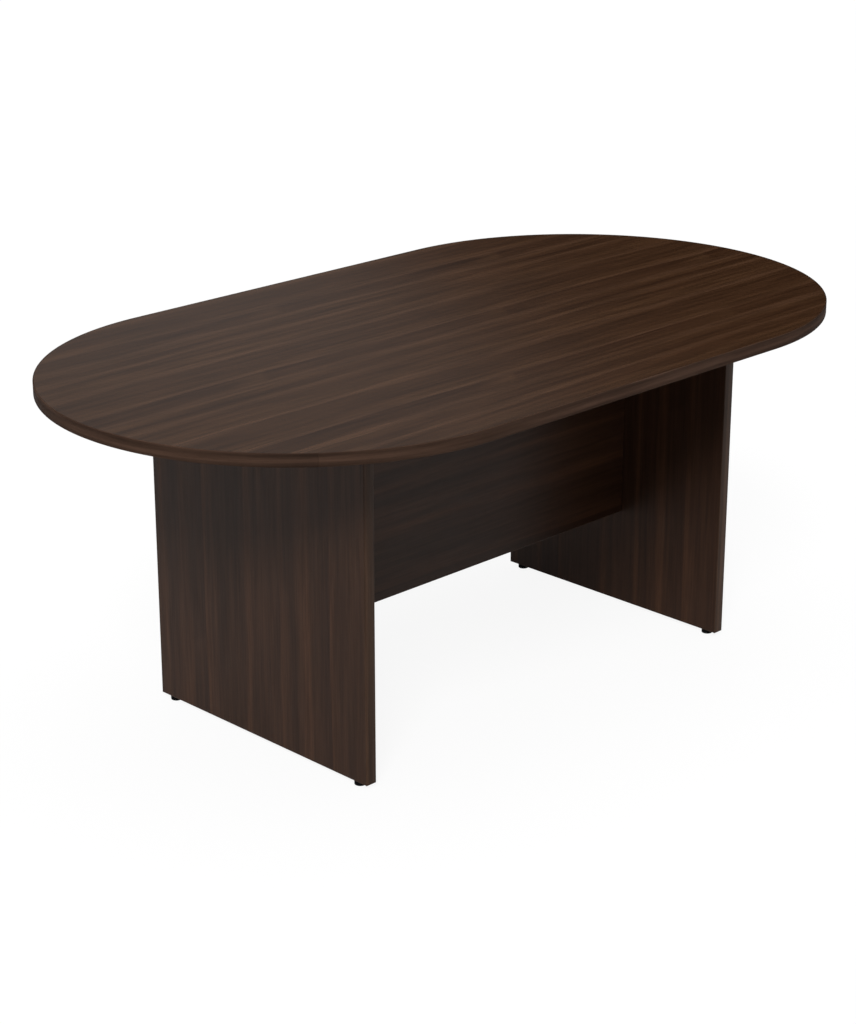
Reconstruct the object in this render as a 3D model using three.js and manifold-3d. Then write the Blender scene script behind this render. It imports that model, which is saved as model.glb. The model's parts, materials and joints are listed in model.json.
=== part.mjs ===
// Conference table: a rounded-end top on two slab end panels, tied by a cross panel.
// The boards are held by cam fittings and dowels, and the table stands on four screw feet.
// Millimetres, +Z up. The origin is on the floor under the middle of the top, and +X runs
// along the top. The front of the table faces -Y.
import * as THREE from "three";
import { mergeVertices } from "three/addons/utils/BufferGeometryUtils.js";
import Module from "manifold-3d";

const wasm = await Module();
wasm.setup();

// Table and boards
const TOP_LENGTH = 1800;
const TOP_WIDTH = 1000;
const TABLE_HEIGHT = 730;
const TOP_THICK = 25;
const PANEL_WIDTH = 600;
const PANEL_THICK = 25;
const PANEL_SPAN = 1004; // clear length between the end panels
const FLOOR_GAP = 9; // from the floor to the end panels
const CROSS_THICK = 18;
const CROSS_HEIGHT = 487;
const CROSS_FRONT = -30; // front face of the cross panel, from the middle of the end panels
const END_STEPS = 40; // facets round each end of the top, an even number

// Edging strips
const EDGING_THICK = 2;
const EDGING_ROUND = 1.2; // radius of a strip's outer corners
const GLUE_LINE = 0.2; // between a strip and its board
const BUTT_ANGLE = THREE.MathUtils.degToRad(231); // where the top's strip meets itself
const BUTT_GAP = 0.4;

// Cam fittings
const CAM_RADIUS = 7.25;
const CAM_CLEARANCE = 0.25; // round a cam disc, and under it
const CAM_SETBACK = 34; // from a cam's axis to the edge that its bolt comes out of
const CAM_FLOOR = 1; // metal under the cam's pocket
const CAM_PITCH_UP = 0.8; // how far the spiral draws the bolt in
const CAM_OPEN = THREE.MathUtils.degToRad(190); // turn from locked to open
const BALL_RADIUS = 3.2;
const BALL_OFFSET = 1; // from the cam's axis to the middle of the bolt's ball head
const BALL_CLEARANCE = 0.3; // between the bolt's head and neck and the cam
const NECK_RADIUS = 2;
const NECK_MARGIN = 0.8; // from the cam's hole to the bolt's shank
const SHANK_RADIUS = 3.5;
const SHANK_CLEARANCE = 0.5;
const COLLAR_LENGTH = 2;
const THREAD_RADIUS = 2.4;
const THREAD_LENGTH = 11;
const THREAD_CLEARANCE = 0.15;
const SEAT_GAP = 0.3; // between the bolt's collar and the board that it screws into
const RECESS_LENGTH = 8; // screwdriver cross in the cam's face
const RECESS_WIDTH = 1.7;
const RECESS_DEPTH = 3;

// Dowels
const DOWEL_RADIUS = 4;
const DOWEL_FLUTE = 0.4; // depth of its flutes
const DOWEL_FLUTES = 8;
const DOWEL_POINTS = 2; // points of its outline for each flute
const DOWEL_CHAMFER = 1;
const DOWEL_IN_EDGE = 18;
const DOWEL_IN_FACE = 12;
const DOWEL_CLEARANCE = 0.15;
const DOWEL_END_GAP = 0.5;

// Places of the fittings
const PANEL_CAM_INSET = 80; // from an end panel's upright edge
const CROSS_CAM_INSET = 60; // from the cross panel's upper and lower edge
const CROSS_TOP_CAM = 250; // from the middle of the cross panel, along its upper edge
const DOWEL_STEP = 64; // from a cam to the dowel beside it

// Screw feet
const FOOT_INSET = 30; // from an end panel's upright edge
const PAD_RADIUS = 11.5;
const PAD_HEIGHT = 8.5;
const PAD_FLOOR = 2.5;
const PAD_CHAMFER = 0.8;
const PAD_FLUTES = 12;
const PAD_POINTS = 3; // points of its outline for each flute
const PAD_FLUTE = 0.6; // depth of the finger flutes
const STEM_RADIUS = 4;
const STEM_LENGTH = 32; // above its head
const STEM_CHAMFER = 1;
const STEM_HEAD_RADIUS = 6;
const STEM_HEAD_THICK = 3;
const STEM_CLEARANCE = 0.3; // in the pad and in the sleeve
const SLEEVE_RADIUS = 6;
const SLEEVE_LENGTH = 22;
const SLEEVE_BARBS = 3;
const SLEEVE_BARB = 0.5; // depth of a barb
const SLEEVE_CLEARANCE = 0.2;
const FOOT_HOLE_SPARE = 2; // free hole above the stem

// Facets of round pieces, and how far a cutting shape stands out of what it cuts
const CAM_FACETS = 18;
const HOLE_FACETS = 10;
const ROD_FACETS = 8;
const SLOT_FACETS = 6;
const FOOT_FACETS = 12;
const BALL_STEPS = 4;
const CUT_STAND = 1;

// Worked out from the sizes above
const UNDERSIDE = TABLE_HEIGHT - TOP_THICK;
const END_RADIUS = TOP_WIDTH / 2;
const END_CENTRE = TOP_LENGTH / 2 - END_RADIUS;
const STRIP = EDGING_THICK + GLUE_LINE;
const PANEL_INNER = PANEL_SPAN / 2;
const PANEL_MIDDLE = PANEL_INNER + PANEL_THICK / 2;
const PANEL_HEIGHT = UNDERSIDE - FLOOR_GAP;
const CROSS_REAR = CROSS_FRONT + CROSS_THICK;
const CROSS_MIDDLE = CROSS_FRONT + CROSS_THICK / 2;
const CROSS_BOTTOM = UNDERSIDE - CROSS_HEIGHT;
const CAM_HOLE_RADIUS = CAM_RADIUS + CAM_CLEARANCE;
const POCKET_LOCKED = BALL_OFFSET + BALL_RADIUS + BALL_CLEARANCE;
const POCKET_HALF = BALL_RADIUS + BALL_CLEARANCE;
const SLOT_HALF = NECK_RADIUS + BALL_CLEARANCE;
const CAM_BELOW = POCKET_HALF + CAM_FLOOR; // from the bolt's axis to the cam's underside

const UP = new THREE.Vector3(0, 0, 1);
const RIGHT = new THREE.Vector3(1, 0, 0);
const LEFT = new THREE.Vector3(-1, 0, 0);
const REAR = new THREE.Vector3(0, 1, 0);

// Finishes
const walnutFace = { color: 0x3f2f28, roughness: 0.45, metalness: 0 };
const walnutEdge = { color: 0x45302a, roughness: 0.4, metalness: 0 };
const castZinc = { color: 0xb0b2b4, roughness: 0.45, metalness: 0.9 };
const platedSteel = { color: 0xc2c4c8, roughness: 0.3, metalness: 1 };
const beech = { color: 0xc9a878, roughness: 0.7, metalness: 0 };
const blackNylon = { color: 0x161616, roughness: 0.55, metalness: 0 };

const table = new THREE.Group();

function addPiece(name, geometry, finish) {
  const mesh = new THREE.Mesh(geometry, new THREE.MeshStandardMaterial(finish));
  mesh.name = name;
  table.add(mesh);
  return mesh;
}

// A closed geometry as a solid for cutting and joining.
function solidOf(geometry) {
  const bare = geometry.clone();
  bare.deleteAttribute("normal");
  bare.deleteAttribute("uv");
  const merged = mergeVertices(bare);
  const triVerts = new Uint32Array(merged.index.array);
  const vertProperties = merged.attributes.position.array;
  return new wasm.Manifold(new wasm.Mesh({ numProp: 3, vertProperties, triVerts }));
}

function geometryOf(solid) {
  const { vertProperties, triVerts } = solid.getMesh();
  const geometry = new THREE.BufferGeometry();
  geometry.setAttribute("position", new THREE.BufferAttribute(vertProperties, 3));
  geometry.setIndex(new THREE.BufferAttribute(triVerts, 1));
  geometry.computeVertexNormals();
  return geometry;
}

function meshed(positions, faces) {
  const geometry = new THREE.BufferGeometry();
  geometry.setAttribute("position", new THREE.Float32BufferAttribute(positions, 3));
  geometry.setIndex(faces);
  geometry.computeVertexNormals();
  return geometry;
}

function cutAll(geometry, cutters) {
  const cut = (solid, cutter) => solid.subtract(solidOf(cutter));
  return geometryOf(cutters.reduce(cut, solidOf(geometry)));
}

function box(low, high) {
  const size = high.clone().sub(low);
  const middle = low.clone().add(high).multiplyScalar(0.5);
  return new THREE.BoxGeometry(size.x, size.y, size.z).translate(middle.x, middle.y, middle.z);
}

// A flat outline made into a plate that stands on z = 0.
function plate(shape, depth, curveSegments) {
  return new THREE.ExtrudeGeometry(shape, { depth, bevelEnabled: false, curveSegments });
}

// Corner radius of a hole whose facets all lie outside its true circle.
const around = (radius, facets) => radius / Math.cos(Math.PI / facets);

// A round hole's cutter, from its mouth along a direction.
function hole(mouth, along, depth, radius, facets = HOLE_FACETS) {
  const length = depth + CUT_STAND;
  const corner = around(radius, facets);
  const middle = mouth.clone().addScaledVector(along, length / 2 - CUT_STAND);
  const turn = new THREE.Quaternion().setFromUnitVectors(REAR, along);
  return new THREE.CylinderGeometry(corner, corner, length, facets)
    .applyQuaternion(turn)
    .translate(middle.x, middle.y, middle.z);
}

// A turned piece: points of radius and distance along the axis, from the axis back to the axis.
function turned(profile, facets) {
  const points = profile.map(([radius, along]) => new THREE.Vector2(radius, along));
  return geometryOf(solidOf(new THREE.LatheGeometry(points, facets)));
}

// A fluted rod along +Z: every few points of its outline lie deeper by the flute's depth.
// Each level is [height, how far the outline is drawn in there].
function flutedRod(radius, flute, flutes, pointsEach, levels) {
  const count = flutes * pointsEach;
  const positions = [0, 0, levels[0][0], 0, 0, levels.at(-1)[0]];
  for (const [height, inset] of levels) {
    for (let i = 0; i < count; i++) {
      const angle = (i / count) * 2 * Math.PI;
      const reach = radius - inset - (i % pointsEach ? 0 : flute);
      positions.push(reach * Math.cos(angle), reach * Math.sin(angle), height);
    }
  }
  const faces = [];
  const point = (level, i) => 2 + level * count + (i % count);
  const lastLevel = levels.length - 1;
  for (let i = 0; i < count; i++) {
    faces.push(0, point(0, i + 1), point(0, i), 1, point(lastLevel, i), point(lastLevel, i + 1));
    for (let level = 0; level < lastLevel; level++) {
      const [a, b] = [point(level, i), point(level, i + 1)];
      const [c, d] = [point(level + 1, i + 1), point(level + 1, i)];
      faces.push(a, b, c, a, c, d);
    }
  }
  return meshed(positions, faces);
}

// Sets a piece that was modelled along +Y at a point, pointing along a direction.
function pointAlong(mesh, place, along) {
  mesh.position.copy(place);
  mesh.quaternion.setFromUnitVectors(REAR, along);
}

// The top

function racetrack(radius) {
  const quarter = Math.PI / 2;
  const shape = new THREE.Shape();
  shape.moveTo(-END_CENTRE, -radius);
  shape.absarc(END_CENTRE, 0, radius, -quarter, quarter, false);
  shape.absarc(-END_CENTRE, 0, radius, quarter, quarter * 3, false);
  return shape;
}

// Section of an edging strip: [outward, across], with the outer corners rounded.
function stripSection(width) {
  const slope = EDGING_ROUND * (1 - Math.SQRT1_2);
  return [
    [0, 0],
    [EDGING_THICK - EDGING_ROUND, 0],
    [EDGING_THICK - slope, slope],
    [EDGING_THICK, EDGING_ROUND],
    [EDGING_THICK, width - EDGING_ROUND],
    [EDGING_THICK - slope, width - slope],
    [EDGING_THICK - EDGING_ROUND, width],
    [0, width],
  ];
}

// Angles and centres that the top's strip passes, from one side of its butt joint to the other.
function stripStations() {
  const step = Math.PI / END_STEPS;
  const halfGap = BUTT_GAP / 2 / END_RADIUS;
  const start = BUTT_ANGLE + halfGap;
  const end = BUTT_ANGLE - halfGap;
  const arc = (first) => Array.from({ length: END_STEPS + 1 }, (_, i) => first + i * step);
  const leftEnd = arc(Math.PI / 2);
  const rightEnd = arc(-Math.PI / 2);
  const onLeft = (angle) => ({ angle, centre: -END_CENTRE });
  const onRight = (angle) => ({ angle, centre: END_CENTRE });
  const clear = step / 10;
  return [
    ...[start, ...leftEnd.filter((angle) => angle > start + clear)].map(onLeft),
    ...rightEnd.map(onRight),
    ...[...leftEnd.filter((angle) => angle < end - clear), end].map(onLeft),
  ];
}

// A strip swept through the stations, with both ends closed.
function sweptStrip(section, stations) {
  const inside = END_RADIUS - EDGING_THICK;
  const positions = stations.flatMap(({ angle, centre }) =>
    section.flatMap(([out, across]) => [
      centre + (inside + out) * Math.cos(angle),
      (inside + out) * Math.sin(angle),
      UNDERSIDE + across,
    ]),
  );
  const count = section.length;
  const faces = [];
  for (let i = 0; i + 1 < stations.length; i++) {
    for (let j = 0; j < count; j++) {
      const next = (j + 1) % count;
      const [a, b] = [i * count + j, i * count + next];
      faces.push(a, b + count, b, a, a + count, b + count);
    }
  }
  const outline = section.map(([out, across]) => new THREE.Vector2(out, across));
  const last = (stations.length - 1) * count;
  for (const [a, b, c] of THREE.ShapeUtils.triangulateShape(outline, [])) {
    faces.push(a, b, c, last + a, last + c, last + b);
  }
  return meshed(positions, faces);
}

// A straight strip: its section lies across, and it runs along +Z from z = 0.
function straightStrip(width, length) {
  const outline = stripSection(width).map(([out, across]) => new THREE.Vector2(out, across));
  return plate(new THREE.Shape(outline), length);
}

// Fittings. Each call adds its pieces and returns the holes to cut in the two boards.

// Pocket that the ball head runs in: it widens towards the opening, along a spiral.
function camPocket() {
  const steps = CAM_FACETS;
  const points = [];
  for (let i = 0; i < steps; i++) {
    const back = (i / steps) * 2 * Math.PI;
    const rise = back < CAM_OPEN ? (CAM_PITCH_UP * back) / CAM_OPEN : 0;
    const radius = POCKET_LOCKED + rise;
    points.push(new THREE.Vector2(radius * Math.cos(back), -radius * Math.sin(back)));
  }
  return plate(new THREE.Shape(points.reverse()), 2 * POCKET_HALF).translate(0, 0, -POCKET_HALF);
}

// Slot that the bolt's neck runs in while the cam turns.
function camSlot() {
  const reach = CAM_RADIUS + CUT_STAND;
  const sector = new THREE.Shape();
  sector.moveTo(0, 0);
  sector.absarc(0, 0, reach, -CAM_OPEN, 0, false);
  return plate(sector, 2 * SLOT_HALF, SLOT_FACETS).translate(0, 0, -SLOT_HALF);
}

function crossRecess() {
  const long = RECESS_LENGTH / 2;
  const half = RECESS_WIDTH / 2;
  const corners = [
    [long, -half], [long, half], [half, half], [half, long], [-half, long], [-half, half],
    [-long, half], [-long, -half], [-half, -half], [-half, -long], [half, -long], [half, -half],
  ];
  const outline = corners.map(([x, y]) => new THREE.Vector2(x, y));
  return plate(new THREE.Shape(outline), RECESS_DEPTH + CUT_STAND);
}

// Cam disc: its axis is z, the bolt's axis crosses it at the origin and leaves along +X.
function camDisc(aboveAxis) {
  const height = CAM_BELOW + aboveAxis;
  const disc = new THREE.CylinderGeometry(CAM_RADIUS, CAM_RADIUS, height, CAM_FACETS)
    .rotateX(Math.PI / 2)
    .translate(0, 0, height / 2 - CAM_BELOW);
  const reach = CAM_RADIUS + CUT_STAND;
  const neckWay = box(
    new THREE.Vector3(0, -SLOT_HALF, -SLOT_HALF),
    new THREE.Vector3(reach, SLOT_HALF, SLOT_HALF),
  );
  const opening = new THREE.Vector3(Math.cos(CAM_OPEN), -Math.sin(CAM_OPEN), 0);
  const mouth = opening.clone().multiplyScalar(CAM_RADIUS);
  const entry = hole(mouth, opening.clone().negate(), CAM_RADIUS, POCKET_HALF);
  const recess = crossRecess().translate(0, 0, aboveAxis - RECESS_DEPTH);
  return cutAll(disc, [camPocket(), camSlot(), neckWay, entry, recess]);
}

// Connecting bolt, along +Y from the cam's axis: ball, neck, shank, collar and threaded end.
function camBolt() {
  const collarEnd = CAM_SETBACK - SEAT_GAP;
  const shankStart = CAM_HOLE_RADIUS + NECK_MARGIN;
  const threadEnd = CAM_SETBACK + THREAD_LENGTH;
  const collarRadius = SHANK_RADIUS + SHANK_CLEARANCE / 2;
  const ballEnd = Math.acos(NECK_RADIUS / BALL_RADIUS);
  const ball = Array.from({ length: BALL_STEPS + 1 }, (_, i) => {
    const angle = -Math.PI / 2 + ((ballEnd + Math.PI / 2) * i) / BALL_STEPS;
    return [
      i === 0 ? 0 : BALL_RADIUS * Math.cos(angle),
      BALL_OFFSET + BALL_RADIUS * Math.sin(angle),
    ];
  });
  const rest = [
    [NECK_RADIUS, shankStart],
    [SHANK_RADIUS, shankStart],
    [SHANK_RADIUS, collarEnd - COLLAR_LENGTH],
    [collarRadius, collarEnd - COLLAR_LENGTH],
    [collarRadius, collarEnd],
    [THREAD_RADIUS, collarEnd],
    [THREAD_RADIUS, threadEnd - THREAD_RADIUS / 2],
    [THREAD_RADIUS / 2, threadEnd],
    [0, threadEnd],
  ];
  return turned([...ball, ...rest], ROD_FACETS);
}

// A cam and its bolt. seat is on the board's face over the bolt's axis, out is that face's
// direction, and along is the way that the bolt leaves the board.
function camFitting(name, seat, out, along, thick) {
  const axis = seat.clone().addScaledVector(out, -thick / 2);
  const side = new THREE.Vector3().crossVectors(out, along);
  const cam = addPiece(`${name}_cam`, camDisc(thick / 2 - CAM_CLEARANCE), castZinc);
  cam.position.copy(axis);
  cam.quaternion.setFromRotationMatrix(new THREE.Matrix4().makeBasis(along, side, out));
  pointAlong(addPiece(`${name}_bolt`, camBolt(), platedSteel), axis, along);
  const edge = axis.clone().addScaledVector(along, CAM_SETBACK);
  const camDepth = thick / 2 + CAM_BELOW + CAM_CLEARANCE;
  const into = out.clone().negate();
  const back = along.clone().negate();
  return {
    carrier: [
      hole(seat, into, camDepth, CAM_HOLE_RADIUS, CAM_FACETS),
      hole(edge, back, CAM_SETBACK, SHANK_RADIUS + SHANK_CLEARANCE),
    ],
    mate: [
      hole(edge, along, THREAD_LENGTH + DOWEL_END_GAP, THREAD_RADIUS + THREAD_CLEARANCE),
    ],
  };
}

// Fluted dowel, along +Y, with the edge of the first board at the origin.
function dowelRod() {
  const levels = [
    [-DOWEL_IN_EDGE, DOWEL_CHAMFER],
    [DOWEL_CHAMFER - DOWEL_IN_EDGE, 0],
    [DOWEL_IN_FACE - DOWEL_CHAMFER, 0],
    [DOWEL_IN_FACE, DOWEL_CHAMFER],
  ];
  const rod = flutedRod(DOWEL_RADIUS, DOWEL_FLUTE, DOWEL_FLUTES, DOWEL_POINTS, levels);
  return rod.rotateX(-Math.PI / 2);
}

// A dowel across a joint. edge is where it leaves the first board, and along is its way out.
function dowelFitting(name, edge, along) {
  pointAlong(addPiece(`${name}_dowel`, dowelRod(), beech), edge, along);
  const radius = DOWEL_RADIUS + DOWEL_CLEARANCE;
  return {
    carrier: [hole(edge, along.clone().negate(), DOWEL_IN_EDGE + DOWEL_END_GAP, radius)],
    mate: [hole(edge, along, DOWEL_IN_FACE + DOWEL_END_GAP, radius)],
  };
}

// Screw feet

// Pad with finger flutes, standing on the origin along +Z, moulded round the stem's head.
function footPad() {
  const levels = [
    [0, PAD_CHAMFER],
    [PAD_CHAMFER, 0],
    [PAD_HEIGHT - PAD_CHAMFER, 0],
    [PAD_HEIGHT, PAD_CHAMFER],
  ];
  const body = flutedRod(PAD_RADIUS, PAD_FLUTE, PAD_FLUTES, PAD_POINTS, levels);
  const headWay = around(STEM_HEAD_RADIUS + STEM_CLEARANCE, FOOT_FACETS);
  const stemWay = around(STEM_RADIUS + STEM_CLEARANCE, FOOT_FACETS);
  const headTop = PAD_FLOOR + STEM_HEAD_THICK + 2 * STEM_CLEARANCE;
  const pocket = turned(
    [
      [0, PAD_FLOOR],
      [headWay, PAD_FLOOR],
      [headWay, headTop],
      [stemWay, headTop],
      [stemWay, PAD_HEIGHT + CUT_STAND],
      [0, PAD_HEIGHT + CUT_STAND],
    ],
    FOOT_FACETS,
  ).rotateX(Math.PI / 2);
  return cutAll(body, [pocket]);
}

// Stem with its head, standing along +Z with the floor at the origin.
function footStem() {
  const headLow = PAD_FLOOR + STEM_CLEARANCE;
  const headHigh = headLow + STEM_HEAD_THICK;
  const tip = headHigh + STEM_LENGTH;
  return turned(
    [
      [0, headLow],
      [STEM_HEAD_RADIUS, headLow],
      [STEM_HEAD_RADIUS, headHigh],
      [STEM_RADIUS, headHigh],
      [STEM_RADIUS, tip - STEM_CHAMFER],
      [STEM_RADIUS - STEM_CHAMFER, tip],
      [0, tip],
    ],
    FOOT_FACETS,
  ).rotateX(Math.PI / 2);
}

// Threaded sleeve with barbs, standing along +Z with its mouth at the origin.
function footSleeve() {
  const bore = around(STEM_RADIUS + STEM_CLEARANCE, FOOT_FACETS);
  const root = SLEEVE_RADIUS - SLEEVE_BARB;
  const pitch = SLEEVE_LENGTH / (SLEEVE_BARBS + 1);
  const barbs = [];
  for (let i = 1; i <= SLEEVE_BARBS; i++) {
    barbs.push([root, i * pitch], [SLEEVE_RADIUS, i * pitch]);
  }
  return turned(
    [
      [bore, 0],
      [SLEEVE_RADIUS, 0],
      ...barbs,
      [root, SLEEVE_LENGTH],
      [bore, SLEEVE_LENGTH],
      [bore, 0],
    ],
    FOOT_FACETS,
  ).rotateX(Math.PI / 2);
}

function screwFoot(place, x, y) {
  const floor = new THREE.Vector3(x, y, 0);
  const mouth = new THREE.Vector3(x, y, FLOOR_GAP);
  addPiece(`${place}_foot_pad`, footPad(), blackNylon).position.copy(floor);
  addPiece(`${place}_foot_stem`, footStem(), platedSteel).position.copy(floor);
  addPiece(`${place}_foot_sleeve`, footSleeve(), castZinc).position.copy(mouth);
  const stemTip = PAD_FLOOR + STEM_CLEARANCE + STEM_HEAD_THICK + STEM_LENGTH;
  const depth = Math.max(stemTip - FLOOR_GAP, SLEEVE_LENGTH) + FOOT_HOLE_SPARE;
  return hole(mouth, UP, depth, SLEEVE_RADIUS + SLEEVE_CLEARANCE, FOOT_FACETS);
}

// End panels

function endPanel(side, name) {
  const x = side * PANEL_MIDDLE;
  const inner = side * PANEL_INNER;
  const out = side < 0 ? RIGHT : LEFT;
  const halfWidth = PANEL_WIDTH / 2;
  const places = { front: -1, rear: 1 };
  const fittings = [];
  const feet = [];
  for (const [place, way] of Object.entries(places)) {
    const camY = way * (halfWidth - PANEL_CAM_INSET);
    const seat = new THREE.Vector3(inner, camY, UNDERSIDE - CAM_SETBACK);
    fittings.push(camFitting(`${name}_${place}_top`, seat, out, UP, PANEL_THICK));
    const dowelAt = new THREE.Vector3(x, camY - way * DOWEL_STEP, UNDERSIDE);
    fittings.push(dowelFitting(`${name}_${place}_top`, dowelAt, UP));
    feet.push(screwFoot(`${name}_${place}`, x, way * (halfWidth - FOOT_INSET)));
  }
  const thickHalf = PANEL_THICK / 2;
  const board = box(
    new THREE.Vector3(x - thickHalf, STRIP - halfWidth, FLOOR_GAP + STRIP),
    new THREE.Vector3(x + thickHalf, halfWidth - STRIP, UNDERSIDE),
  );
  addPanelEdging(x, name, places, feet);
  return { fittings, board, feet };
}

function addPanelEdging(x, name, places, feet) {
  const halfWidth = PANEL_WIDTH / 2;
  for (const [place, way] of Object.entries(places)) {
    const upright = straightStrip(PANEL_THICK, PANEL_HEIGHT)
      .translate(halfWidth - EDGING_THICK, -PANEL_THICK / 2, 0)
      .rotateZ((way * Math.PI) / 2)
      .translate(x, 0, FLOOR_GAP);
    addPiece(`${name}_${place}_edging`, upright, walnutEdge);
  }
  const length = PANEL_WIDTH - 2 * STRIP;
  const bottom = straightStrip(PANEL_THICK, length)
    .translate(0, -PANEL_THICK / 2, -length / 2)
    .rotateY(Math.PI / 2)
    .rotateZ(Math.PI / 2)
    .translate(x, 0, FLOOR_GAP + EDGING_THICK);
  addPiece(`${name}_bottom_edging`, cutAll(bottom, feet), walnutEdge);
}

// Cross panel

function crossPanel() {
  const ends = [];
  for (const [name, side] of [["left", -1], ["right", 1]]) {
    const along = side < 0 ? LEFT : RIGHT;
    const fittings = [];
    const heights = {
      upper: [UNDERSIDE - CROSS_CAM_INSET, -1],
      lower: [CROSS_BOTTOM + CROSS_CAM_INSET, 1],
    };
    for (const [place, [z, way]] of Object.entries(heights)) {
      const seat = new THREE.Vector3(side * (PANEL_INNER - CAM_SETBACK), CROSS_REAR, z);
      fittings.push(camFitting(`${name}_${place}_cross`, seat, REAR, along, CROSS_THICK));
      const dowelAt = new THREE.Vector3(side * PANEL_INNER, CROSS_MIDDLE, z + way * DOWEL_STEP);
      fittings.push(dowelFitting(`${name}_${place}_cross`, dowelAt, along));
    }
    ends.push(fittings);
  }
  const toTop = [];
  for (const [name, side] of [["left", -1], ["right", 1]]) {
    const x = side * CROSS_TOP_CAM;
    const seat = new THREE.Vector3(x, CROSS_REAR, UNDERSIDE - CAM_SETBACK);
    toTop.push(camFitting(`${name}_cross_top`, seat, REAR, UP, CROSS_THICK));
    const dowelAt = new THREE.Vector3(x - side * DOWEL_STEP, CROSS_MIDDLE, UNDERSIDE);
    toTop.push(dowelFitting(`${name}_cross_top`, dowelAt, UP));
  }
  const board = box(
    new THREE.Vector3(-PANEL_INNER, CROSS_FRONT, CROSS_BOTTOM + STRIP),
    new THREE.Vector3(PANEL_INNER, CROSS_REAR, UNDERSIDE),
  );
  const edging = straightStrip(CROSS_THICK, PANEL_SPAN)
    .translate(0, -CROSS_THICK / 2, -PANEL_SPAN / 2)
    .rotateY(Math.PI / 2)
    .translate(0, CROSS_MIDDLE, CROSS_BOTTOM + EDGING_THICK);
  addPiece("cross_panel_edging", edging, walnutEdge);
  return { ends, toTop, board };
}

// The boards, each cut for the fittings that it carries and those that screw into it

const carried = (fittings) => fittings.flatMap(({ carrier }) => carrier);
const taken = (fittings) => fittings.flatMap(({ mate }) => mate);

const cross = crossPanel();
const topFittings = [...cross.toTop];
for (const [index, [name, side]] of [["left", -1], ["right", 1]].entries()) {
  const panel = endPanel(side, name);
  const cuts = [...carried(panel.fittings), ...panel.feet, ...taken(cross.ends[index])];
  addPiece(`${name}_end_panel`, cutAll(panel.board, cuts), walnutFace);
  topFittings.push(...panel.fittings);
}
const crossCuts = carried([...cross.ends.flat(), ...cross.toTop]);
addPiece("cross_panel", cutAll(cross.board, crossCuts), walnutFace);

const topBoard = plate(racetrack(END_RADIUS - STRIP), TOP_THICK, END_STEPS / 2);
topBoard.translate(0, 0, UNDERSIDE);
addPiece("top_board", cutAll(topBoard, taken(topFittings)), walnutFace);
addPiece("top_edging", sweptStrip(stripSection(TOP_THICK), stripStations()), walnutEdge);

export default table;
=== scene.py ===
"""A conference table: a rounded walnut top on two slab end panels, tied by a cross panel.

The boards, their edging strips, the cam fittings, dowels and screw feet are modelled round the
fixed CAD frame and given their finishes. Everything is in metres, in the CAD frame: the origin
is on the floor under the middle of the top, +X runs along the top and the front faces -Y.
"""
import json
import math

import bmesh
import bpy
from mathutils import Matrix, Vector


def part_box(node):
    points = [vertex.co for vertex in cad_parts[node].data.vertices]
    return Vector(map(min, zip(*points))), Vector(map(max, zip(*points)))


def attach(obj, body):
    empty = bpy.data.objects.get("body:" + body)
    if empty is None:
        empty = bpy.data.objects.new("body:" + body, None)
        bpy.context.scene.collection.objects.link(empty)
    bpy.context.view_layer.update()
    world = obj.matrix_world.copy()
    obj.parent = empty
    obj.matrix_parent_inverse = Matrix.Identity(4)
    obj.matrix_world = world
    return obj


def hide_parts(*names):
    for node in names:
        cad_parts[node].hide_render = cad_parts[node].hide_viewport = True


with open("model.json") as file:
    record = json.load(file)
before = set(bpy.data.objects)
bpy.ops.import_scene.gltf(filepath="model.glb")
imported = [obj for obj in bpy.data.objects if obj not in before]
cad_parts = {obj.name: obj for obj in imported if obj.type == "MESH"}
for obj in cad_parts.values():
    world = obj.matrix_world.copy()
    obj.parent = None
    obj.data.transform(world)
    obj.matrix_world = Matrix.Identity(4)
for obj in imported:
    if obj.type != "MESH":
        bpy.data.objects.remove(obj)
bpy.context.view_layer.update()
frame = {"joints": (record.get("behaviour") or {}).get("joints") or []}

# Boards and edging strips
END_SEGMENTS = 48  # of each quarter turn of the top
EDGING_THICK = 0.002
EDGING_ROUND = 0.0012
ROUND_SEGMENTS = 4
BUTT_ANGLE = math.radians(231)  # where the top's strip meets itself, round the left end
BUTT_DIRECTION = math.radians(208.5)  # and the same place, from the middle of the top
BUTT_GAP = 0.0004

# Cam fittings
CAM_RADIUS = 0.00725
CAM_HOLE_RADIUS = 0.0075
CAM_SETBACK = 0.034  # from a cam's axis to the edge that its bolt comes out of
CAM_FLOOR = 0.001
CAM_CLEARANCE = 0.00025
CAM_OPEN = math.radians(190)
CAM_PITCH_UP = 0.0008
CAM_RIM = 0.0004
BALL_RADIUS = 0.0032
BALL_OFFSET = 0.001
BALL_CLEARANCE = 0.0003
ENTRY_CLEARANCE = 0.00024
NECK_RADIUS = 0.002
SHANK_START = 0.0083
SHANK_RADIUS = 0.0035
COLLAR_RADIUS = 0.00375
COLLAR_LENGTH = 0.002
COLLAR_END = 0.0337
BOLT_THREAD_RADIUS = 0.0024
BOLT_THREAD_LENGTH = 0.011
BOLT_PITCH = 0.0011
RECESS_LENGTH = 0.008
RECESS_WIDTH = 0.0017
RECESS_DEPTH = 0.003
RECESS_TAPER = 0.55  # its floor's size against its mouth's
ARROW_RADIUS = 0.0011
ARROW_PLACE = 0.0056
ARROW_DEPTH = 0.0002

# Dowels
DOWEL_RADIUS = 0.004
DOWEL_FLUTE = 0.0004
DOWEL_FLUTES = 8
DOWEL_CHAMFER = 0.001
FLUTE_REACH = math.radians(1)  # a corner within it lies in a flute

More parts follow.
